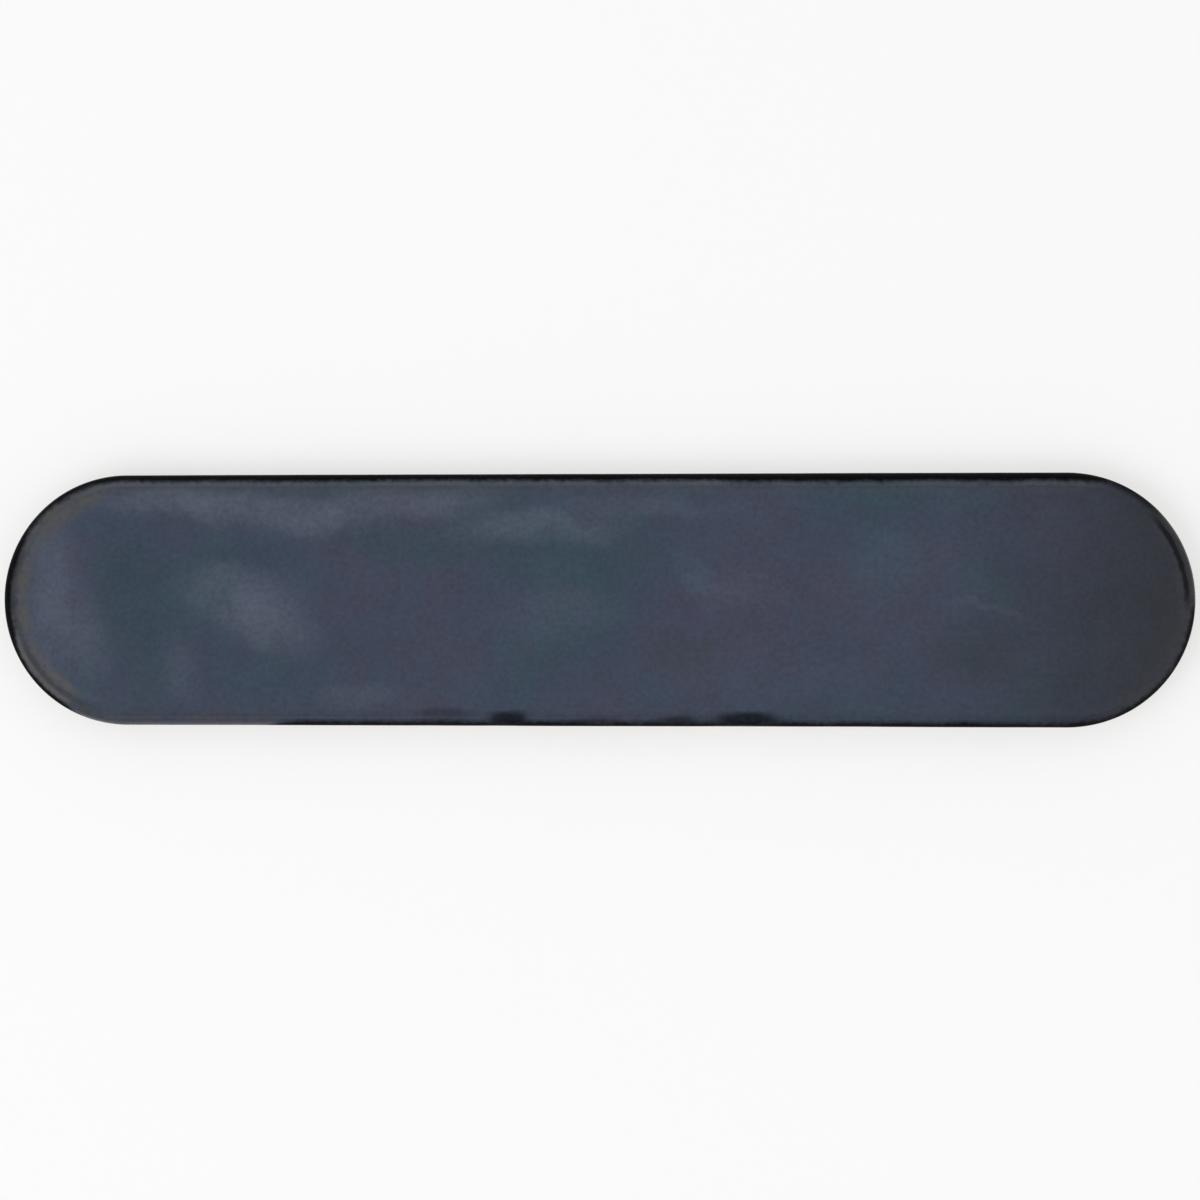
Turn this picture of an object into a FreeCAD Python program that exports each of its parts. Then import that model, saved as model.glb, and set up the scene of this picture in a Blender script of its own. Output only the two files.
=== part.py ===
"""A glazed ceramic wall tile in the shape of a pill, pressed and fired as one piece.

Millimetres, +Z up. The tile lies on its back: X runs along its length, Y across its width, and the
origin is the middle of the back plane. The glazed face looks up, swells gently as hand-made ware
does, falls a little towards its edge and rolls over into upright sides. The back has shallow
pressed grooves, between ribs that the mortar keys to.
"""

import FreeCAD
import Part

import math
import os

# Overall size
tile_length = 300.0
tile_width = 63.5
tile_thickness = 9.0  # from the back plane to the mean level of the face

# Face: a shallow cushion inside the edge, and swells as (wavelength, direction in degrees, phase in
# degrees, height from the mean level)
cushion_width = 14.0
cushion_drop = 0.45
swells = (
    (96.0, 18.0, 40.0, 0.11),
    (61.0, 74.0, 205.0, 0.08),
    (43.0, -37.0, 310.0, 0.06),
    (29.0, 8.0, 120.0, 0.035),
)
face_grid_step = 4.0  # spacing of the points that the face is drawn through
face_overhang = 6.0  # how far the drawn face reaches past the outline

# Edges
rim_radius = 2.2  # roll between the face and the sides
arris_width = 0.7  # chamfer around the back

# Back relief
back_margin = 4.5  # plain border between the outline and the nearest groove
groove_width = 5.0  # at its mouth
groove_depth = 0.8
groove_draft = 30.0  # lean of the groove's walls from upright, in degrees
rib_width = 4.5  # back plane left between two grooves

plane_tolerance = 0.01  # an edge this near the back plane lies in it


def end_radius():
    """Radius of the two half-round ends."""
    return tile_width / 2


def straight_length():
    """Length of the straight part of the long edges."""
    return tile_length - tile_width


def pill_wire(straight, radius, y, z):
    """Closed outline of two straight edges and two half circles, level at z and centred on x = 0."""
    right, left = straight / 2, -straight / 2
    near, far = y - radius, y + radius
    edges = [
        Part.LineSegment(FreeCAD.Vector(left, near, z), FreeCAD.Vector(right, near, z)),
        Part.Arc(
            FreeCAD.Vector(right, near, z),
            FreeCAD.Vector(right + radius, y, z),
            FreeCAD.Vector(right, far, z),
        ),
        Part.LineSegment(FreeCAD.Vector(right, far, z), FreeCAD.Vector(left, far, z)),
        Part.Arc(
            FreeCAD.Vector(left, far, z),
            FreeCAD.Vector(left - radius, y, z),
            FreeCAD.Vector(left, near, z),
        ),
    ]
    return Part.Wire([edge.toShape() for edge in edges])


def edge_distance(x, y):
    """How far a point of the plan lies inside the outline."""
    past_straight = max(abs(x) - straight_length() / 2, 0.0)
    return end_radius() - math.hypot(past_straight, y)


def face_height(x, y):
    """Height of the glazed face over the back plane, before its rim is rolled."""
    height = tile_thickness
    for wavelength, direction, phase, swell_height in swells:
        turn = math.radians(direction)
        along = x * math.cos(turn) + y * math.sin(turn)
        height += swell_height * math.cos(2 * math.pi * along / wavelength + math.radians(phase))
    share = max(1 - edge_distance(x, y) / cushion_width, 0.0)
    return height - cushion_drop * share**2


def evenly(low, high, step):
    """Numbers from low to high, both included, at most a step apart."""
    count = math.ceil((high - low) / step)
    return [low + (high - low) * i / count for i in range(count + 1)]


def face_sheet():
    """The face as one smooth spline surface, a little larger than the tile."""
    reach_x = tile_length / 2 + face_overhang
    reach_y = tile_width / 2 + face_overhang
    rows = [
        [FreeCAD.Vector(x, y, face_height(x, y)) for y in evenly(-reach_y, reach_y, face_grid_step)]
        for x in evenly(-reach_x, reach_x, face_grid_step)
    ]
    surface = Part.BSplineSurface()
    surface.interpolate(rows)
    return surface.toShape()


def pressed_blank():
    """The pill-shaped block under the face sheet, with sharp edges."""
    outline = Part.Face(pill_wire(straight_length(), end_radius(), 0.0, 0.0))
    block = outline.extrude(FreeCAD.Vector(0, 0, 2 * tile_thickness))
    under_face = face_sheet().extrude(FreeCAD.Vector(0, 0, -2 * tile_thickness))
    return block.common(under_face).Solids[0]


def edges_at_back(solid):
    """The edges of the outline that lie in the back plane."""
    return [edge for edge in solid.Edges if edge.BoundBox.ZMax < plane_tolerance]


def edges_at_face(solid):
    """The edges of the outline where the sides meet the glazed face."""
    half = tile_thickness / 2
    return [edge for edge in solid.Edges if edge.BoundBox.ZMin > half]


def groove_offsets():
    """Y of each groove's middle: as many as fit inside the border, evenly about the centre line."""
    pitch = groove_width + rib_width
    field = tile_width - 2 * back_margin
    count = int((field + rib_width) // pitch)
    return [(i - (count - 1) / 2) * pitch for i in range(count)]


def back_groove(y):
    """The block that presses one groove, round at both ends and narrower at its floor."""
    field_radius = end_radius() - back_margin
    outer_side = abs(y) + groove_width / 2
    reach = straight_length() / 2 + math.sqrt(field_radius**2 - outer_side**2)
    half_width = groove_width / 2
    lean = math.tan(math.radians(groove_draft))
    straight = 2 * (reach - half_width)
    below = groove_depth  # the block starts this far under the back plane
    mouth = pill_wire(straight, half_width + below * lean, y, -below)
    floor = pill_wire(straight, half_width - groove_depth * lean, y, groove_depth)
    return Part.makeLoft([mouth, floor], True, True)


def tile():
    """The whole tile: rim rolled, back arris chamfered and grooves pressed in."""
    body = pressed_blank()
    body = body.makeFillet(rim_radius, edges_at_face(body))
    body = body.makeChamfer(arris_width, edges_at_back(body))
    return body.cut([back_groove(y) for y in groove_offsets()]).Solids[0]


os.makedirs("parts", exist_ok=True)
tile().exportStep("parts/tile.step")
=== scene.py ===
from math import cos, pi, radians, sin, tan

import bpy
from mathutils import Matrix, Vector


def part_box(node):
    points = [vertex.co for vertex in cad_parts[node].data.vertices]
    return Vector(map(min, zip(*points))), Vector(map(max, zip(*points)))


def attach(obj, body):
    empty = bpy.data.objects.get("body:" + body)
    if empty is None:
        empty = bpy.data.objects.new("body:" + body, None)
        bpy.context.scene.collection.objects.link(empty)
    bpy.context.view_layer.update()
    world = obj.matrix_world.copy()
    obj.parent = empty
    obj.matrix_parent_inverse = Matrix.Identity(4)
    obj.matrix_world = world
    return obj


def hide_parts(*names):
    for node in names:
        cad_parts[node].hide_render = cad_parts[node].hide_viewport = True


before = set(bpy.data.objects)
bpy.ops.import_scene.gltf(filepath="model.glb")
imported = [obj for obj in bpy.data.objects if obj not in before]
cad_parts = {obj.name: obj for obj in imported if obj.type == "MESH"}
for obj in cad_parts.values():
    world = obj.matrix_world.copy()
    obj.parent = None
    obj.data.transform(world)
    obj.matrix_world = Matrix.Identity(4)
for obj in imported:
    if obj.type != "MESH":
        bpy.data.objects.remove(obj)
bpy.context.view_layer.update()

mm = 0.001
tileLow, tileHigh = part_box("tile")
tileLength = tileHigh.x - tileLow.x
tileWidth = tileHigh.y - tileLow.y


class Field:
    # one value inside a node tree, so that a formula reads as a formula
    def __init__(self, tree, socket):
        self.tree = tree
        self.socket = socket

    def does(self, operation, *others):
        return calc(self.tree, operation, self, *others)

    def held(self, lowest, highest):
        return self.does("MINIMUM", highest).does("MAXIMUM", lowest)

    def __add__(self, other):
        return calc(self.tree, "ADD", self, other)

    def __radd__(self, other):
        return calc(self.tree, "ADD", other, self)

    def __sub__(self, other):
        return calc(self.tree, "SUBTRACT", self, other)

    def __rsub__(self, other):
        return calc(self.tree, "SUBTRACT", other, self)

    def __mul__(self, other):
        return calc(self.tree, "MULTIPLY", self, other)

    def __rmul__(self, other):
        return calc(self.tree, "MULTIPLY", other, self)

    def __truediv__(self, other):
        return calc(self.tree, "DIVIDE", self, other)

    def __rtruediv__(self, other):
        return calc(self.tree, "DIVIDE", other, self)


def feed(tree, socket, value):
    if isinstance(value, Field):
        value = value.socket
    if isinstance(value, bpy.types.NodeSocket):
        tree.links.new(value, socket)
    else:
        socket.default_value = value


def addNode(tree, kind, inputs=None, **settings):
    node = tree.nodes.new(kind)
    for name, value in settings.items():
        setattr(node, name, value)
    for name, value in (inputs or {}).items():
        feed(tree, node.inputs[name], value)
    return node


def calc(tree, operation, *values):
    node = addNode(tree, "ShaderNodeMath", operation=operation)
    for socket, value in zip(node.inputs, values):
        feed(tree, socket, value)
    return Field(tree, node.outputs[0])


def fade(value, start, end, soft=True):
    # 0 at start, 1 at end, and held outside them
    node = addNode(value.tree, "ShaderNodeMapRange", interpolation_type="SMOOTHSTEP" if soft else "LINEAR")
    for name, number in (("Value", value), ("From Min", start), ("From Max", end)):
        feed(value.tree, node.inputs[name], number)
    return Field(value.tree, node.outputs[0])


def blendTo(value, other, share):
    return value + (other - value) * share


def split(tree, vector):
    node = addNode(tree, "ShaderNodeSeparateXYZ", {"Vector": vector})
    return [Field(tree, socket) for socket in node.outputs]


def join(tree, x, y, z):
    return addNode(tree, "ShaderNodeCombineXYZ", {"X": x, "Y": y, "Z": z}).outputs[0]


def noise(tree, vector, size, seed=0.0, detail=2.0, rough=0.5):
    # the size is that of one blotch, in metres; the result runs either side of 0
    node = addNode(
        tree, "ShaderNodeTexNoise",
        {"Vector": vector, "W": seed, "Scale": 1 / size, "Detail": detail, "Roughness": rough},
        noise_dimensions="4D",
    )
    return Field(tree, node.outputs[0]) - 0.5


def added(tree, vector, other):
    return addNode(tree, "ShaderNodeVectorMath", {0: vector, 1: other}, operation="ADD").outputs[0]


def scaled(tree, vector, factor):
    return addNode(tree, "ShaderNodeVectorMath", {0: vector, "Scale": factor}, operation="SCALE").outputs[0]


def grain(tree, vector, size, seed=0.0, detail=2.0, rough=0.5):
    # as noise, but quicker to render: the seed moves it to another stretch of one pattern
    place = added(tree, vector, join(tree, seed, seed, 0.0))
    node = addNode(
        tree, "ShaderNodeTexNoise",
        {"Vector": place, "Scale": 1 / size, "Detail": detail, "Roughness": rough},
    )
    return Field(tree, node.outputs[0]) - 0.5


def newTree(name, kind, inputs, outputs):
    # a number makes a socket that starts at it, and a word names another kind of socket
    tree = bpy.data.node_groups.new(name, kind)
    for direction, sockets in (("INPUT", inputs), ("OUTPUT", outputs)):
        for socketName, value in sockets.items():
            socketKind = value if isinstance(value, str) else "Float"
            socket = tree.interface.new_socket(
                name=socketName, in_out=direction, socket_type="NodeSocket" + socketKind
            )
            if socketKind == "Float":
                socket.default_value = value
    sockets = addNode(tree, "NodeGroupInput").outputs
    given = {
        socketName: sockets[socketName] if isinstance(value, str) else Field(tree, sockets[socketName])
        for socketName, value in inputs.items()
    }
    return tree, given, addNode(tree, "NodeGroupOutput").inputs


def placeGroup(tree, group, inputs):
    # its outputs, by name
    kind = "ShaderNodeGroup" if tree.bl_idname == "ShaderNodeTree" else "GeometryNodeGroup"
    node = addNode(tree, kind, node_tree=group)
    for name, value in inputs.items():
        feed(tree, node.inputs[name], value)
    return {socket.name: Field(tree, socket) for socket in node.outputs}


def paint(code):
    # a colour as it looks on screen, written #rrggbb
    parts = [int(code[i:i + 2], 16) / 255 for i in (1, 3, 5)]
    return [*(((c + 0.055) / 1.055) ** 2.4 if c > 0.04045 else c / 12.92 for c in parts), 1.0]


# the tile's own sizes, in metres
body = {
    "Length": tileLength,
    "Width": tileWidth,
    "Mean Height": 9.0 * mm,        # back to the mean level of the face
    "Cushion Width": 14.0 * mm,     # the face falls away inside this border
    "Cushion Drop": 0.45 * mm,
    "Rim Width": 2.5 * mm,          # roll from the face to the side
    "Rim Height": 2.2 * mm,
    "Rim Relief": 0.045 * mm,       # bead and trough that the glaze draws along the rim
    "Ripple Height": 0.085 * mm,
    "Ripple Size": 17.0 * mm,
    "Outline Wander": 0.16 * mm,    # how far the outline strays inwards
    "Glaze Thickness": 0.3 * mm,
    "Glaze End": 2.3 * mm,          # mean height of the glaze's lower edge
    "Glaze Wander": 2.6 * mm,
    "Arris Width": 0.6 * mm,
    "Seed": 4.0,
}
swells = [  # wavelength, direction, phase, height
    (96.0 * mm, radians(18), radians(40), 0.11 * mm),
    (61.0 * mm, radians(74), radians(205), 0.08 * mm),
    (43.0 * mm, radians(-37), radians(310), 0.06 * mm),
    (29.0 * mm, radians(8), radians(120), 0.035 * mm),
]
dents = [  # along the front edge: middle, half length, depth
    (-22.5 * mm, 6.0 * mm, 0.5 * mm),
    (36.5 * mm, 9.0 * mm, 0.5 * mm),
    (20.5 * mm, 5.0 * mm, 0.25 * mm),
    (-40.0 * mm, 8.0 * mm, 0.2 * mm),
]
dentReach = {"inset": 3 * mm, "front": -10 * mm}  # gone this far in, and whole beyond this y
rimRelief = {  # share of the reach and height either side of 0.5: a bead inside the roll, then a trough
    "reach": 10 * mm,
    "points": ((0.12, 0.56), (0.27, 0.86), (0.36, 0.62), (0.45, 0.26), (0.6, 0.42), (0.78, 0.53)),
}
rows = {"face": 44, "roll": 10, "side": 6, "lip": 4, "clay": 5, "arris": 2, "back": 2}
columns = {"straight": 316, "end": 132}
build = {
    "crowding": 0.58,             # how much closer the face's rows lie near the rim
    "outlineBlotch": 38 * mm,     # lengths over which things change along the outline
    "reliefBlotch": 11 * mm,
    "glazeEndBlotch": 26 * mm,
    "unevenRelief": 0.9,
    "leastClay": 0.3 * mm,        # bare clay always left over the chamfer
    "lineReach": 1.1 * mm,        # how far from the glaze's lower edge its colour is felt
    "weld": 0.01 * mm,
    "sharpAngle": radians(32),
}

grooves = {  # in the back
    "margin": 4.5 * mm,
    "width": 5.0 * mm,
    "depth": 0.8 * mm,
    "rib": 4.5 * mm,
    "draft": radians(30),
    "corners": 32,
}


def makeSwellTree():
    tree, given, result = newTree(
        "faceSwell", "GeometryNodeTree",
        {"X": 0.0, "Y": 0.0, "Wavelength": 0.05, "Direction": 0.0, "Phase": 0.0, "Height": 0.0},
        {"Offset": 0.0},
    )
    along = given["X"] * given["Direction"].does("COSINE") + given["Y"] * given["Direction"].does("SINE")
    wave = (2 * pi * along / given["Wavelength"] + given["Phase"]).does("COSINE")
    feed(tree, result["Offset"], wave * given["Height"])
    return tree


def makeDentTree():
    tree, given, result = newTree(
        "edgeDent", "GeometryNodeTree",
        {"X": 0.0, "Y": 0.0, "Inset": 0.0, "Middle": 0.0, "Half Length": 10 * mm, "Depth": 0.0,
         "Width": dentReach["inset"]},
        {"Offset": 0.0},
    )
    away = (given["X"] - given["Middle"]) / given["Half Length"]
    along = (-1 * away * away).does("EXPONENT")
    across = fade(given["Inset"], given["Width"], 0.0)
    inFront = fade(given["Y"], 0.0, dentReach["front"])
    feed(tree, result["Offset"], -1 * given["Depth"] * along * across * inFront)
    return tree


def rimReliefCurve(tree, inset):
    share = (inset / rimRelief["reach"]).does("MINIMUM", 1.0)
    node = addNode(tree, "ShaderNodeFloatCurve", {"Value": share})
    curve = node.mapping.curves[0]
    curve.points[0].location = (0.0, 0.5)
    curve.points[1].location = (1.0, 0.5)
    for x, y in rimRelief["points"]:
        curve.points.new(x, y)
    node.mapping.update()
    return Field(tree, node.outputs[0]) * 2 - 1


def makeBodyTree():
    tree, given, result = newTree(
        "pressedTile", "GeometryNodeTree",
        {**body, "Grooves": "Geometry", "Glaze": "Material", "Clay": "Material"},
        {"Geometry": "Geometry"},
    )
    swellTree = makeSwellTree()
    dentTree = makeDentTree()
    around = 2 * (columns["straight"] + columns["end"])
    down = sum(rows.values())
    grid = addNode(
        tree, "GeometryNodeMeshGrid",
        {"Size X": around, "Size Y": down, "Vertices X": around + 1, "Vertices Y": down + 1},
    ).outputs["Mesh"]
    x, y = split(tree, addNode(tree, "GeometryNodeInputPosition").outputs[0])[:2]
    column = x + around / 2
    row = y + down / 2

    # round the outline: front edge, right end, back edge, left end
    step = {}
    start = 0
    for name, kind in (("front", "straight"), ("right", "end"), ("back", "straight"), ("left", "end")):
        step[name] = fade(column, start, start + columns[kind], soft=False)
        start += columns[kind]
    radius = given["Width"] / 2
    spineX = (step["front"] - step["back"] - 0.5) * (given["Length"] - given["Width"])
    turn = (step["right"] + step["left"] - 0.5) * pi
    edgePoint = join(tree, spineX + radius * turn.does("COSINE"), radius * turn.does("SINE"), 0.0)

    # from the middle of the face out over the rim, down the side and in under the back
    start = 0
    for name, count in rows.items():
        step[name + "Row"] = fade(row, start, start + count, soft=False)
        start += count
    roll = step["rollRow"] * (pi / 2)
    lip = step["lipRow"] * (pi / 2)
    toGo = 1 - step["faceRow"]
    crowded = 1 - build["crowding"] + build["crowding"] * toGo
    inset = (
        given["Rim Width"] * (1 - roll.does("SINE"))
        + (radius - given["Rim Width"]) * toGo * crowded
        + given["Glaze Thickness"] * (1 - lip.does("COSINE"))
        + given["Arris Width"] * step["arrisRow"]
        + (radius - given["Glaze Thickness"] - given["Arris Width"]) * step["backRow"]
    )
    stray = noise(tree, edgePoint, build["outlineBlotch"], given["Seed"]) + 0.5
    reach = (radius - inset) * (1 - stray * given["Outline Wander"] / radius)
    x = spineX + reach * turn.does("COSINE")
    y = reach * turn.does("SINE")

    faceZ = given["Mean Height"]
    for wavelength, direction, phase, height in swells:
        faceZ = faceZ + placeGroup(tree, swellTree, {
            "X": x, "Y": y, "Wavelength": wavelength, "Direction": direction,
            "Phase": phase, "Height": height,
        })["Offset"]
    for middle, halfLength, depth in dents:
        faceZ = faceZ + placeGroup(tree, dentTree, {
            "X": x, "Y": y, "Inset": inset, "Middle": middle, "Half Length": halfLength, "Depth": depth,
        })["Offset"]
    border = (1 - inset / given["Cushion Width"]).does("MAXIMUM", 0.0)
    plan = join(tree, x, y, 0.0)
    uneven = 1 + build["unevenRelief"] * noise(tree, edgePoint, build["reliefBlotch"], given["Seed"] + 3)
    faceZ = (
        faceZ
        - given["Cushion Drop"] * border * border
        + given["Rim Relief"] * rimReliefCurve(tree, inset) * uneven
        + given["Ripple Height"] * noise(tree, plan, given["Ripple Size"], given["Seed"] + 1, 3.0)
    )
    wander = noise(tree, edgePoint, build["glazeEndBlotch"], given["Seed"] + 2, 3.0, 0.6)
    glazeEnd = given["Glaze End"] + given["Glaze Wander"] * wander
    glazeEnd = glazeEnd.does("MAXIMUM", given["Arris Width"] + build["leastClay"])
    z = faceZ - given["Rim Height"] * (1 - roll.does("COSINE"))
    z = blendTo(z, glazeEnd + given["Glaze Thickness"], step["sideRow"])
    z = blendTo(z, glazeEnd, lip.does("SINE"))
    z = blendTo(z, given["Arris Width"], step["clayRow"])
    z = blendTo(z, 0.0, step["arrisRow"])
    nearLine = fade((z - glazeEnd).does("ABSOLUTE"), build["lineReach"], 0.0)

    isClay = row.does("GREATER_THAN", sum(rows[name] for name in ("face", "roll", "side", "lip")))
    mesh = addNode(
        tree, "GeometryNodeStoreNamedAttribute",
        {"Geometry": grid, "Name": "bareClay", "Value": isClay.socket},
        data_type="BOOLEAN", domain="FACE",
    ).outputs[0]
    mesh = addNode(
        tree, "GeometryNodeStoreNamedAttribute",
        {"Geometry": mesh, "Name": "nearGlazeLine", "Value": nearLine.socket},
        data_type="FLOAT", domain="POINT",
    ).outputs[0]
    mesh = addNode(
        tree, "GeometryNodeSetPosition", {"Geometry": mesh, "Position": join(tree, x, y, z)}
    ).outputs[0]
    mesh = addNode(
        tree, "GeometryNodeMergeByDistance", {"Geometry": mesh, "Distance": build["weld"]}
    ).outputs[0]
    mesh = addNode(tree, "GeometryNodeFlipFaces", {"Mesh": mesh}).outputs[0]
    mesh = addNode(
        tree, "GeometryNodeSetMaterial", {"Geometry": mesh, "Material": given["Glaze"]}
    ).outputs[0]
    cutter = addNode(
        tree, "GeometryNodeSetMaterial", {"Geometry": given["Grooves"], "Material": given["Clay"]}
    ).outputs[0]

    cut = addNode(tree, "GeometryNodeMeshBoolean", operation="DIFFERENCE", solver="EXACT")
    feed(tree, cut.inputs["Mesh 1"], mesh)
    feed(tree, cut.inputs["Mesh 2"], cutter)
    sharp = addNode(tree, "GeometryNodeInputMeshEdgeAngle").outputs["Unsigned Angle"]
    sharp = Field(tree, sharp).does("GREATER_THAN", build["sharpAngle"])
    mesh = addNode(
        tree, "GeometryNodeSetShadeSmooth", {0: cut.outputs[0], "Shade Smooth": True}, domain="FACE"
    ).outputs[0]
    mesh = addNode(
        tree, "GeometryNodeSetShadeSmooth", {0: mesh, "Selection": sharp, "Shade Smooth": False},
        domain="EDGE",
    ).outputs[0]
    mesh = addNode(tree, "GeometryNodeRealizeInstances", {"Geometry": mesh}).outputs[0]
    bare = addNode(
        tree, "GeometryNodeInputNamedAttribute", {"Name": "bareClay"}, data_type="BOOLEAN"
    ).outputs[0]
    mesh = addNode(
        tree, "GeometryNodeSetMaterial", {"Geometry": mesh, "Selection": bare, "Material": given["Clay"]}
    ).outputs[0]
    feed(tree, result["Geometry"], mesh)
    return tree


def makeGrooveTree():
    pitch = grooves["width"] + grooves["rib"]
    field = tileWidth - 2 * grooves["margin"]
    count = int((field + grooves["rib"]) // pitch)
    lean = tan(grooves["draft"])
    tree, given, result = newTree(
        "backGrooves", "GeometryNodeTree",
        {"Length": tileLength, "Width": tileWidth, "Margin": grooves["margin"],
         "Groove Width": grooves["width"], "Groove Depth": grooves["depth"], "Pitch": pitch},
        {"Geometry": "Geometry"},
    )
    half = given["Groove Width"] / 2
    line = addNode(
        tree, "GeometryNodeMeshLine",
        {"Count": count, "Start Location": join(tree, 0.0, given["Pitch"] * (-(count - 1) / 2), 0.0),
         "Offset": join(tree, 0.0, given["Pitch"], 0.0)},
    ).outputs[0]
    stub = addNode(
        tree, "GeometryNodeMeshCone",
        {"Vertices": grooves["corners"], "Radius Top": half - given["Groove Depth"] * lean,
         "Radius Bottom": half + given["Groove Depth"] * lean, "Depth": given["Groove Depth"] * 2},
    ).outputs["Mesh"]
    stub = addNode(
        tree, "GeometryNodeTransform",
        {"Geometry": stub, "Translation": join(tree, 0.0, 0.0, -1 * given["Groove Depth"]),
         "Rotation": (0, 0, pi / grooves["corners"])},
    ).outputs[0]
    stubs = addNode(tree, "GeometryNodeInstanceOnPoints", {"Points": line, "Instance": stub}).outputs[0]
    stubs = addNode(tree, "GeometryNodeRealizeInstances", {"Geometry": stubs}).outputs[0]

    # each stub is drawn out lengthwise until it meets the plain border
    x, y = split(tree, addNode(tree, "GeometryNodeInputPosition").outputs[0])[:2]
    lane = (y / given["Pitch"] + count / 2).does("FLOOR") - (count - 1) / 2
    outerSide = (lane * given["Pitch"]).does("ABSOLUTE") + half
    room = given["Width"] / 2 - given["Margin"]
    pastStraight = (room * room - outerSide * outerSide).does("SQRT")
    reach = (given["Length"] - given["Width"]) / 2 + pastStraight - half
    stretched = join(tree, x.does("SIGN") * reach, 0.0, 0.0)
    mesh = addNode(tree, "GeometryNodeSetPosition", {"Geometry": stubs, "Offset": stretched}).outputs[0]
    mesh = addNode(
        tree, "GeometryNodeStoreNamedAttribute", {"Geometry": mesh, "Name": "bareClay", "Value": True},
        data_type="BOOLEAN", domain="FACE",
    ).outputs[0]
    feed(tree, result["Geometry"], mesh)
    return tree


def setInputs(modifier, values):
    # a modifier keeps its inputs by identifier
    for item in modifier.node_group.interface.items_tree:
        if item.item_type == "SOCKET" and item.in_out == "INPUT" and item.name in values:
            modifier[item.identifier] = values[item.name]


def makeTile(glaze, clay):
    tree, given, result = newTree(
        "wallTile", "GeometryNodeTree",
        {**body, "Glaze": "Material", "Clay": "Material"}, {"Geometry": "Geometry"},
    )
    cutters = placeGroup(tree, makeGrooveTree(), {"Length": given["Length"], "Width": given["Width"]})
    made = placeGroup(tree, makeBodyTree(), {**given, "Grooves": cutters["Geometry"]})
    feed(tree, result["Geometry"], made["Geometry"])

    piece = bpy.data.objects.new("glazedTile", bpy.data.meshes.new("glazedTile"))
    bpy.context.scene.collection.objects.link(piece)
    modifier = piece.modifiers.new("shape", "NODES")
    modifier.node_group = tree
    setInputs(modifier, {**body, "Glaze": glaze, "Clay": clay})
    evaluated = piece.evaluated_get(bpy.context.evaluated_depsgraph_get())
    mesh = bpy.data.meshes.new_from_object(evaluated)
    piece.modifiers.remove(modifier)
    piece.data = mesh
    mesh.materials.pop(index=0)  # the empty slot that the grid brought
    print(f"tile: {len(mesh.vertices)} vertices, {len(mesh.loop_triangles)} triangles")
    return piece


# effects as node groups, which the finishes below use
def makeOutlineGroup():
    # how far inside the tile's outline a point lies, which way the outline faces there, and its height
    tree, given, result = newTree(
        "outlineInset", "ShaderNodeTree",
        {"Vector": "Vector", "Length": tileLength, "Width": tileWidth},
        {"Inset": 0.0, "Facing X": 0.0, "Facing Y": 0.0, "Height": 0.0},
    )
    x, y, z = split(tree, given["Vector"])
    past = (x.does("ABSOLUTE") - (given["Length"] - given["Width"]) / 2).does("MAXIMUM", 0.0)
    away = (past * past + y * y).does("SQRT")
    feed(tree, result["Inset"], given["Width"] / 2 - away)
    feed(tree, result["Facing X"], past * x.does("SIGN") / away)
    feed(tree, result["Facing Y"], y / away)
    feed(tree, result["Height"], z)
    return tree


def makeSpeckGroup():
    leastShare = 0.35  # of the size, for the smallest speck
    coreShare = 0.35   # of a speck's radius that is at full strength
    tree, given, result = newTree(
        "scatteredSpecks", "ShaderNodeTree",
        {"Vector": "Vector", "Spacing": 2 * mm, "Size": 0.3 * mm, "Share": 0.3, "Seed": 0.0},
        {"Mask": 0.0, "Tone": 0.0},
    )
    place = added(tree, given["Vector"], join(tree, given["Seed"], given["Seed"], 0.0))
    cells = addNode(tree, "ShaderNodeTexVoronoi", {"Vector": place, "Scale": 1 / given["Spacing"]})
    away = Field(tree, cells.outputs["Distance"]) * given["Spacing"]
    pick, tone, size = split(tree, cells.outputs["Color"])
    chosen = pick.does("LESS_THAN", given["Share"])
    radius = given["Size"] * (leastShare + (1 - leastShare) * size)
    feed(tree, result["Mask"], fade(away, radius, radius * coreShare) * chosen)
    feed(tree, result["Tone"], tone)
    return tree


def makeSmudgeGroup():
    clean, smudged = -0.22, 0.25  # the noise at which there is no smudge and a whole one
    tree, given, result = newTree(
        "handlingSmudges", "ShaderNodeTree",
        {"Vector": "Vector", "Size": 20 * mm, "Seed": 0.0},
        {"Amount": 0.0},
    )
    broad = grain(tree, given["Vector"], given["Size"], given["Seed"], 3.0, 0.62)
    fine = grain(tree, given["Vector"], given["Size"] * 0.12, given["Seed"] + 0.5, 1.5, 0.6)
    feed(tree, result["Amount"], fade(broad + fine * 0.35, clean, smudged))
    return tree


def makeCloudGroup():
    tree, given, result = newTree(
        "softCloud", "ShaderNodeTree",
        {"Vector": "Vector", "X": 0.0, "Y": 0.0, "Half Length": 0.02, "Half Width": 0.01, "Turn": 0.0,
         "Softness": 0.8},
        {"Mask": 0.0},
    )
    x, y = split(tree, given["Vector"])[:2]
    x = x - given["X"]
    y = y - given["Y"]
    cosine = given["Turn"].does("COSINE")
    sine = given["Turn"].does("SINE")
    along = (x * cosine + y * sine) / given["Half Length"]
    across = (y * cosine - x * sine) / given["Half Width"]
    away = (along * along + across * across).does("SQRT")
    feed(tree, result["Mask"], fade(away, 1 + 0.3 * given["Softness"], 1 - given["Softness"]))
    return tree


def newMaterial(name, **settings):
    material = bpy.data.materials.new(name)
    material.use_nodes = True
    tree = material.node_tree
    shader = tree.nodes["Principled BSDF"]
    for socket, value in settings.items():
        shader.inputs[socket.replace("_", " ")].default_value = value
    place = addNode(tree, "ShaderNodeTexCoord").outputs["Object"]
    return material, tree, shader, place


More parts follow.
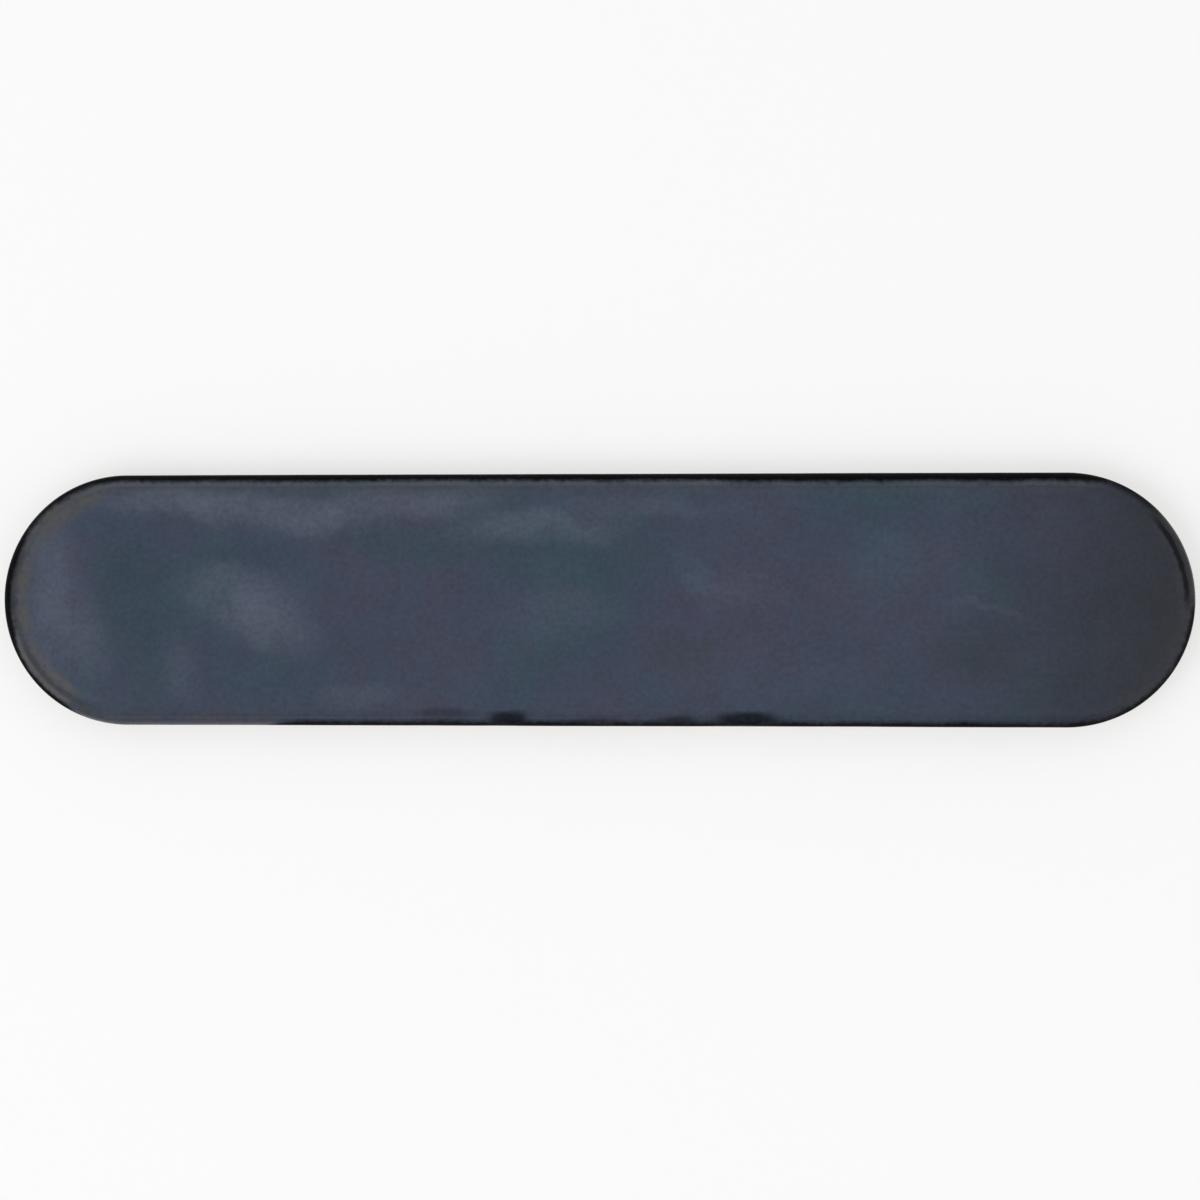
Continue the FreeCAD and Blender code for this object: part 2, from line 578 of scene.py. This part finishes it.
def tint(tree, colour, other, share):
    node = addNode(tree, "ShaderNodeMix", data_type="RGBA")
    feed(tree, node.inputs["Factor"], share)
    feed(tree, node.inputs["A"], colour)
    feed(tree, node.inputs["B"], other)
    return node.outputs["Result"]


def nearGlazeLine(tree):
    return Field(tree, addNode(tree, "ShaderNodeAttribute", attribute_name="nearGlazeLine").outputs["Fac"])


def addRelief(tree, shader, height):
    # the height is in millimetres
    bump = addNode(tree, "ShaderNodeBump", {"Strength": 1.0, "Distance": mm, "Height": height})
    feed(tree, shader.inputs["Normal"], bump.outputs[0])


def hump(value, middle, half, soft):
    # 1 within half of the middle, and gone a soft width further out
    return fade((value - middle).does("ABSOLUTE"), half + soft, half)


def wandered(tree, place, size, amount, seed):
    # the place, pushed about sideways, so that what is drawn from it has a wispy edge
    node = addNode(
        tree, "ShaderNodeTexNoise",
        {"Vector": place, "W": seed, "Scale": 1 / size, "Detail": 1.5, "Roughness": 0.55},
        noise_dimensions="4D",
    )
    centred = added(tree, node.outputs["Color"], (-0.5, -0.5, -0.5))
    return added(tree, place, scaled(tree, centred, amount))


glazeLook = {
    "slate": "#303b4e",
    "teal": "#2a3e4c",
    "violet": "#373a4e",
    # darker, greyer glaze for the right end, partly painted shade
    "rightEndToneAndShade": "#1e212a",
    "pit": "#10141a",
    "dot": "#1f2530",
    "cloudsAndReflections": [  # colour, x, y, half length, half width, turn, share; the pale blue-grey clouds are painted reflections of soft light on the wavy face, the teal and dark ones are the glaze's own tone
        ("#4c5463", -104, 24.0, 25, 4.6, 1, 0.85),
        ("#4f5666", -77, 22.0, 25, 5.5, -4, 0.75),
        ("#4c5262", -48, 24.0, 28, 4.2, 0, 0.75),
        ("#505868", -14, 18.0, 24, 4.6, 3, 0.6),
        ("#494f60", 10, 23.5, 30, 3.0, 0, 0.45),
        ("#4a5162", -138, 3.0, 8, 22, 0, 0.75),
        ("#4d5464", -131, -8.0, 9, 13, 12, 0.5),
        ("#4f5768", -86, -2.0, 17, 10.0, -14, 0.55),
        ("#535b6b", -85, -4.5, 9, 6.0, -15, 0.42),
        ("#4a5263", -98, 5.0, 9, 5.0, 10, 0.45),
        ("#4b5363", -77, -9.0, 12, 6.0, -10, 0.5),
        ("#4a5262", -105, -16.0, 7.0, 8, 6, 0.35),
        ("#484f5f", -57, -24.0, 12, 3.8, 8, 0.5),
        ("#243944", -116, 2.0, 11, 18, 6, 0.8),
        ("#283f4a", -112, -18.0, 7, 8, 0, 0.5),
        ("#273c49", -44, 13.5, 21, 6.0, -3, 0.8),
        ("#29384a", -84, 12.0, 16, 4.0, 0, 0.7),
        ("#2a3e4a", 0, 10.0, 30, 6, -6, 0.45),
        ("#474b5f", -9, -4.0, 16, 8, 0, 0.4),
        ("#415869", 26, 6.0, 5.0, 11.5, 28, 0.36),
        ("#4a4758", 38, 3.0, 13, 7, 0, 0.35),
        ("#354c5b", 74, 11.5, 12, 10, 0, 0.42),
        ("#2b3439", 24, -13.5, 9, 6.0, 0, 0.6),
        ("#263036", 97, -13.5, 16, 9.0, -8, 0.65),
        ("#454853", 101, -3.0, 15, 1.2, -14, 0.34),
        ("#3c4155", 48, -20.0, 30, 7, 0, 0.35),
    ],
    "dentShades": [  # painted shade in the dents of the front edge
        (-21.0, -29.7, 6.2, 2.3, 1.0),
        (39.0, -29.8, 10.0, 2.4, 1.0),
        (21.5, -30.5, 6.6, 1.8, 0.75),
        (1.0, -31.0, 8.0, 1.6, 0.6),
        (-37.0, -28.8, 8.5, 2.2, 0.4),
    ],
    # colour of the painted shade in the front-edge dents
    "dentShade": "#08121f",
    "leanBlotch": 42 * mm,        # over which the slate leans to teal and back to violet
    "leanReach": 0.16,
    "mottleBlotch": 6 * mm,
    "fineBlotch": 1.3 * mm,
    "patchBlotch": 8 * mm,        # gaps in the clouds
    "mottleDepth": 0.35,
    "fineDepth": 0.65,
    "rightEndSpan": (82 * mm, 148 * mm),
    "rightEndShare": 0.95,
    "rightEndStray": 50 * mm,
    "cloudWander": [(24 * mm, 11 * mm, 1.0), (6.5 * mm, 5 * mm, 5.0)],  # size, amount, seed
    "dentShadeWander": (5 * mm, 1.6 * mm, 3.0),
    "dentShadeSoftness": 0.6,
    "pits": {"Spacing": 7 * mm, "Size": 0.45 * mm, "Share": 0.25, "Seed": 3.0},
    "pitDepth": 0.7,
    "dots": {"Spacing": 2.2 * mm, "Size": 0.42 * mm, "Share": 0.35, "Seed": 8.0},
    "dotDepth": 0.35,
    "smudges": {"Size": 24 * mm, "Seed": 2.0},
    "roughness": 0.28,            # and what smudges, the painted highlight ring and the dull rim add to it
    "smudgeRoughness": 0.12,
    "rimHighlightRoughness": 0.2,
    "dullRoughness": 0.25,
    "gloss": 0.66,                # of the coat, what smudges take off, and the share lost where dull
    "smudgeGloss": 0.12,
    "dullGloss": 0.97,
    "peelBlotch": 1.5 * mm,
    "peelHeight": 0.012,
    "dimpleBlotch": 5.5 * mm,
    "dimpleHeight": 0.05,
}
rimLook = {
    "band": "#020203",            # painted shade, near black over the rim
    "ring": "#4a4846",            # painted highlight, pale grey, just inside the rim shade
    # painted highlight along the crest of the back edge
    "crest": "#434953",
    # painted shade in the trough inside the rim
    "trough": "#1b2029",
    # painted reflection on the paler outer lip at the right end
    "lip": "#25262c",
    "thin": "#2a2420",            # at the glaze's lower edge
    "thinShare": 0.8,
    "troughInset": 3.3 * mm,
    "lipLineInset": 2.35 * mm,
    "lipLineShare": 0.75,
    "lipSheen": (1.9 * mm, 1.4 * mm),
    "beadInset": 1.9 * mm,
    "wall": (7.2 * mm, 6.0 * mm),  # painted shade darkens the side between these heights
    "wallMost": 0.95,
    "rimHighlightMost": 0.9,
    "slowBlotch": 9 * mm,
    "quickBlotch": 1.7 * mm,
    "slowStray": 0.9 * mm,        # how far the two blotches push the rim's lines about
    "quickStray": 1.0 * mm,
}
rimSides = {  # painted shade black this far in, and gone by here, the painted highlight ring's reach past it, and its strength; they change round the rim with how the light falls
    "back": (1.1 * mm, 2.6 * mm, 1.0 * mm, 0.35),
    "backRight": (1.55 * mm, 3.0 * mm, 1.0 * mm, 0.2),
    "upperLeft": (0.7 * mm, 2.8 * mm, 3.2 * mm, 0.95),
    "left": (1.5 * mm, 3.75 * mm, 2.0 * mm, 1.0),
    "lowerLeft": (0.85 * mm, 1.8 * mm, 3.6 * mm, 0.95),
    "frontLeft": (-0.6 * mm, 0.4 * mm, 1.6 * mm, 0.6),
    "front": (0.5 * mm, 2.3 * mm, 1.0 * mm, 0.1),
    "right": (0.5 * mm, 1.9 * mm, 1.5 * mm, 0.15),
    "upperRight": (0.2 * mm, 2.4 * mm, 1.0 * mm, 0.0),
}


def bodyColour(tree, groups, place):
    # slate that leans to teal and to violet, darker and greyer towards one end, partly as painted shade,
    # with soft clouds in it, the pale ones painted reflections of light
    look = glazeLook
    x = split(tree, place)[0]
    lean = noise(tree, place, look["leanBlotch"], 2.0, 3.0, 0.55)
    mottle = grain(tree, place, look["mottleBlotch"], 0.7, 2.0, 0.6)
    towards = lean + mottle * 0.3
    colour = tint(tree, paint(look["slate"]), paint(look["teal"]), fade(towards, 0.0, look["leanReach"]))
    colour = tint(tree, colour, paint(look["violet"]), fade(towards, 0.0, -look["leanReach"]))
    # darker and greyer towards the right end: partly painted shade
    rightEndToneAndShade = fade(x + look["rightEndStray"] * lean, *look["rightEndSpan"]) * look["rightEndShare"]
    colour = tint(tree, colour, paint(look["rightEndToneAndShade"]), rightEndToneAndShade)
    wispy = place
    for size, amount, seed in look["cloudWander"]:
        wispy = wandered(tree, wispy, size, amount, seed)
    patchy = 0.85 + 1.1 * grain(tree, place, look["patchBlotch"], 0.9, 2.0, 0.6)
    # the pale clouds are painted reflections of soft light; the teal and dark ones are glaze tone
    for code, cx, cy, halfLength, halfWidth, turn, share in look["cloudsAndReflections"]:
        mask = placeGroup(tree, groups["cloud"], {
            "Vector": wispy, "X": cx * mm, "Y": cy * mm, "Turn": radians(turn),
            "Half Length": halfLength * mm, "Half Width": halfWidth * mm,
        })["Mask"]
        colour = tint(tree, colour, paint(code), (mask * share * patchy).does("MINIMUM", 1.0))
    fine = grain(tree, place, look["fineBlotch"], 1.5, 1.5, 0.65)
    return scaled(tree, colour, 1 + look["fineDepth"] * fine + look["mottleDepth"] * mottle)


def paintRim(tree, groups, place, colour):
    # painted shade black over the rim, a paler broken ring of painted highlight inside it, then a dark line
    # of painted shade in the trough
    look = rimLook
    edge = placeGroup(tree, groups["outline"], {"Vector": place})
    x = split(tree, place)[0]
    facingX = edge["Facing X"]
    facingY = edge["Facing Y"]
    front = fade(facingY, -0.82, -0.97)
    on = {  # how much a point belongs to each side of the rim
        "backRight": fade(facingY, 0.8, 0.95) * fade(x, 10 * mm, 60 * mm),
        "upperLeft": fade(facingX, -0.05, -0.4) * fade(facingY, 0.1, 0.5),
        "left": hump(facingY, 0.05, 0.25, 0.3) * fade(facingX, 0.0, -0.5),
        "lowerLeft": fade(facingX, -0.1, -0.4) * fade(facingY, -0.2, -0.5),
        "frontLeft": front * fade(x, -66 * mm, -86 * mm),
        "front": front * fade(x, -86 * mm, -66 * mm),
        "right": fade(facingX, 0.1, 0.6),
        "upperRight": fade(facingX, 0.1, 0.4) * fade(facingY, 0.55, 0.75),
    }
    blackTo, goneBy, reach, strength = rimSides["back"]
    for name, mask in on.items():
        blackTo, goneBy, reach, strength = (
            blendTo(value, other, mask)
            for value, other in zip((blackTo, goneBy, reach, strength), rimSides[name])
        )
    slow = grain(tree, place, look["slowBlotch"], 1.1, 1.5)
    quick = grain(tree, place, look["quickBlotch"], 1.2, 2.0, 0.65)
    inset = edge["Inset"] + look["slowStray"] * slow + look["quickStray"] * quick

    # the painted rim shade, which at the right end stands off the edge as a dark line inside a paler lip of
    # painted reflection
    band = fade(inset, goneBy, blackTo)
    lip = on["right"] * hump(facingY, 0.33, 0.25, 0.2)
    line = hump(inset, look["lipLineInset"], 0.35 * mm, 0.6 * mm) * lip * look["lipLineShare"]
    band = (band * (1 - look["lipLineShare"] * lip)).does("MAXIMUM", line)
    lipSheen = fade(inset, *look["lipSheen"]) * lip
    # painted shade also darkens the side below the rim
    wall = fade(edge["Height"], *look["wall"])
    band = band.does("MAXIMUM", wall * (0.72 + 1.2 * slow).does("MINIMUM", look["wallMost"]))

    # the painted highlight ring, then a painted highlight on the crest along the back edge and painted
    # shade in the trough further in
    past = inset - goneBy
    broken = 0.75 + 3.2 * quick + 1.4 * slow
    ring = fade(past, -2.4 * mm, -1.0 * mm) * fade(past - reach, 2.6 * mm, -0.8 * mm) * broken * strength
    ring = ring.held(0.0, look["rimHighlightMost"])
    crest = hump(past, 0.0, 0.2 * mm, 0.6 * mm) * fade(facingY, 0.8, 0.97) * (1 - on["upperRight"])
    crest = crest * (0.65 + 2.2 * slow + 2.0 * quick) * (1 - 0.5 * on["backRight"])
    lowerLeft = on["lowerLeft"] * fade(facingX, -0.98, -0.9)
    depth = 0.14 + 0.35 * lowerLeft + 0.25 * on["left"] + 0.14 * on["backRight"]
    trough = hump(inset, look["troughInset"], 0.3 * mm, 0.7 * mm) * depth

    layers = {"ring": ring, "trough": trough, "crest": crest, "lip": lipSheen, "band": band}
    for name, mask in layers.items():
        colour = tint(tree, colour, paint(look[name]), mask.held(0.0, 1.0))
    colour = tint(tree, colour, paint(look["thin"]), nearGlazeLine(tree) * look["thinShare"])

    # where the coat is lost: on the painted rim shade above the side, and on the bead along the front
    bead = 0.75 * on["frontLeft"] + 0.35 * lowerLeft + 0.55 * on["front"]
    bead = hump(inset, look["beadInset"], 0.5 * mm, 0.9 * mm) * bead
    return colour, ring, (band * (1 - wall)).does("MAXIMUM", bead)


def dentShadeMasks(tree, groups, place):
    # masks of the painted shade in the front-edge dents
    wispy = wandered(tree, place, *glazeLook["dentShadeWander"])
    masks = []
    for cx, cy, halfLength, halfWidth, share in glazeLook["dentShades"]:
        mask = placeGroup(tree, groups["cloud"], {
            "Vector": wispy, "X": cx * mm, "Y": cy * mm, "Softness": glazeLook["dentShadeSoftness"],
            "Half Length": halfLength * mm, "Half Width": halfWidth * mm,
        })["Mask"]
        masks.append(mask * share)
    return masks


def makeGlaze(groups):
    material, tree, shader, place = newMaterial(
        "slateGlaze", Coat_Roughness=0.14, Coat_IOR=1.5, Specular_IOR_Level=0.05
    )
    look = glazeLook
    colour = bodyColour(tree, groups, place)
    # painted shade in the dents along the front edge
    dentShades = dentShadeMasks(tree, groups, place)
    for mask in dentShades:
        colour = tint(tree, colour, paint(look["dentShade"]), mask)
    colour, ring, dull = paintRim(tree, groups, place, colour)
    for name in ("pit", "dot"):
        specks = placeGroup(tree, groups["specks"], {"Vector": place, **look[name + "s"]})
        colour = tint(tree, colour, paint(look[name]), specks["Mask"] * look[name + "Depth"])
    feed(tree, shader.inputs["Base Color"], colour)

    smudges = placeGroup(tree, groups["smudges"], {"Vector": place, **look["smudges"]})["Amount"]
    rough = look["roughness"] + look["smudgeRoughness"] * smudges
    rough = rough + look["rimHighlightRoughness"] * ring + look["dullRoughness"] * dull
    feed(tree, shader.inputs["Roughness"], rough)
    bare = dull
    for mask in dentShades:
        bare = bare.does("MAXIMUM", mask)
    gloss = (look["gloss"] - look["smudgeGloss"] * smudges) * (1 - look["dullGloss"] * bare)
    feed(tree, shader.inputs["Coat Weight"], gloss)

    peel = look["peelHeight"] * grain(tree, place, look["peelBlotch"], 2.1, 1.0)
    dimple = look["dimpleHeight"] * grain(tree, place, look["dimpleBlotch"], 2.2, 1.0)
    addRelief(tree, shader, peel + dimple)
    return material


clayLook = {
    "body": "#b9a78f",
    "pale": "#cfc1ab",
    "dark": "#8d7a64",
    "stain": "#5d5148",
    "grog": "#7b5f48",
    "patchBlotch": 30 * mm,
    "gritBlotch": 0.8 * mm,
    "unevenBlotch": 3.5 * mm,
    "grogs": {"Spacing": 1.6 * mm, "Size": 0.34 * mm, "Share": 0.35, "Seed": 5.0},
    "smudges": {"Size": 14 * mm, "Seed": 6.0},
    "stainShare": 0.7,
    "roughness": 0.78,
    "smudgeRoughness": 0.14,
    "gritHeight": 0.09,
    "grogHeight": -0.06,
    "unevenHeight": 0.12,
}


def makeClay(groups):
    material, tree, shader, place = newMaterial("firedClay", Specular_IOR_Level=0.25)
    look = clayLook
    grit = noise(tree, place, look["gritBlotch"], 32.0, 3.0, 0.7)
    patches = noise(tree, place, look["patchBlotch"], 31.0, 4.0, 0.6) + grit * 0.25
    colour = tint(tree, paint(look["body"]), paint(look["pale"]), fade(patches, 0.0, 0.2))
    colour = tint(tree, colour, paint(look["dark"]), fade(patches, -0.02, -0.22) * 0.6)
    grog = placeGroup(tree, groups["specks"], {"Vector": place, **look["grogs"]})
    colour = tint(tree, colour, paint(look["grog"]), grog["Mask"] * (0.25 + 0.5 * grog["Tone"]))
    colour = tint(tree, colour, paint(look["stain"]), nearGlazeLine(tree) * look["stainShare"])
    feed(tree, shader.inputs["Base Color"], colour)
    smudges = placeGroup(tree, groups["smudges"], {"Vector": place, **look["smudges"]})["Amount"]
    feed(tree, shader.inputs["Roughness"], look["roughness"] + look["smudgeRoughness"] * smudges)
    uneven = noise(tree, place, look["unevenBlotch"], 33.0, 3.0)
    relief = look["gritHeight"] * grit + look["grogHeight"] * grog["Mask"] + look["unevenHeight"] * uneven
    addRelief(tree, shader, relief)
    return material


studio = {
    "floorRadius": 4.5,
    "coveRadius": 1.2,    # the floor curves up into a wall all round, so that no horizon shows
    "wallHeight": 1.5,
    "corners": 96,
    "gap": 0.1 * mm,      # between the floor and the tile's back
    "floor": "#fcfcfc",
    "glow": 0.5,          # share of plain white in the floor as it is seen
    "wallGlow": 0.93,     # and in its wall
    "worldLevel": 0.8,
    "lampPower": 9.0,
    "lampPlace": (-1.05, -0.8, 1.55),
    "lampSize": (1.6, 1.3),
    "lens": 100.0,
    "sensor": 36.0,
    "yaw": radians(4.6),
    "aimHeight": 0.75,    # share of the tile's thickness
    "share": 0.9935,      # of the picture's width that the tile fills
}


def makeFloor():
    flat = studio["floorRadius"]
    cove = studio["coveRadius"]
    corners = studio["corners"]
    bends = [radians(angle) for angle in range(0, 91, 10)]
    profile = [(flat + cove * sin(bend), cove * (1 - cos(bend))) for bend in bends]
    profile.append((flat + cove, studio["wallHeight"]))
    ground = tileLow.z - studio["gap"]
    points = []
    for radius, height in profile:
        for i in range(corners):
            turn = 2 * pi * i / corners
            points.append((radius * cos(turn), radius * sin(turn), ground + height))
    faces = [tuple(range(corners))]
    for start in range(0, len(points) - corners, corners):
        for i in range(corners):
            near, far = start + i, start + (i + 1) % corners
            faces.append((near, near + corners, far + corners, far))
    mesh = bpy.data.meshes.new("floor")
    mesh.from_pydata(points, [], faces)
    floor = bpy.data.objects.new("floor", mesh)
    bpy.context.scene.collection.objects.link(floor)

    material, tree, shader, place = newMaterial("paleFloor", Roughness=0.9, Specular_IOR_Level=0.0)
    rays = addNode(tree, "ShaderNodeLightPath").outputs
    seen = Field(tree, rays["Is Camera Ray"]) + Field(tree, rays["Is Glossy Ray"])
    seen = (seen + Field(tree, rays["Is Transmission Ray"])).does("MINIMUM", 1.0)
    height = split(tree, place)[2]
    glow = seen * blendTo(studio["glow"], studio["wallGlow"], fade(height, 0.0, 0.9 * cove))
    feed(tree, shader.inputs["Base Color"], scaled(tree, paint(studio["floor"])[:3], 1 - glow))
    shader.inputs["Emission Color"].default_value = (1, 1, 1, 1)
    feed(tree, shader.inputs["Emission Strength"], glow)
    mesh.materials.append(material)


def makeLamp():
    lamp = bpy.data.lights.new("keyLamp", "AREA")
    lamp.shape = "RECTANGLE"
    lamp.size, lamp.size_y = studio["lampSize"]
    lamp.energy = studio["lampPower"]
    holder = bpy.data.objects.new("keyLamp", lamp)
    holder.location = studio["lampPlace"]
    holder.rotation_euler = (-Vector(studio["lampPlace"])).to_track_quat("-Z", "Y").to_euler()
    bpy.context.scene.collection.objects.link(holder)


def makeWorld():
    world = bpy.data.worlds.new("studio")
    world.use_nodes = True
    background = world.node_tree.nodes["Background"]
    background.inputs["Color"].default_value = (1, 1, 1, 1)
    background.inputs["Strength"].default_value = studio["worldLevel"]
    bpy.context.scene.world = world


def makeCamera():
    camera = bpy.data.objects.new("camera", bpy.data.cameras.new("camera"))
    camera.data.lens = studio["lens"]
    camera.data.sensor_width = studio["sensor"]
    yaw = studio["yaw"]
    distance = tileLength * cos(yaw) * studio["lens"] / studio["sensor"] / studio["share"]
    # turned, it sees the nearer end larger, so it aims that much off the middle to keep both ends in
    aimX = (tileLength / 2) ** 2 * sin(yaw) / distance
    aim = Vector((aimX, 0, tileHigh.z * studio["aimHeight"]))
    camera.location = aim + distance * Vector((sin(yaw), 0, cos(yaw)))
    camera.rotation_euler = (0, yaw, 0)
    bpy.context.scene.collection.objects.link(camera)
    bpy.context.scene.camera = camera


print("building the finishes")
groups = {
    "outline": makeOutlineGroup(),
    "specks": makeSpeckGroup(),
    "smudges": makeSmudgeGroup(),
    "cloud": makeCloudGroup(),
}
glaze = makeGlaze(groups)
clay = makeClay(groups)

print("shaping the tile")
tile = makeTile(glaze, clay)
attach(tile, "root")
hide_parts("tile")

print("setting up the studio")
makeFloor()
makeLamp()
makeWorld()
makeCamera()
bpy.context.scene.view_settings.view_transform = "Standard"
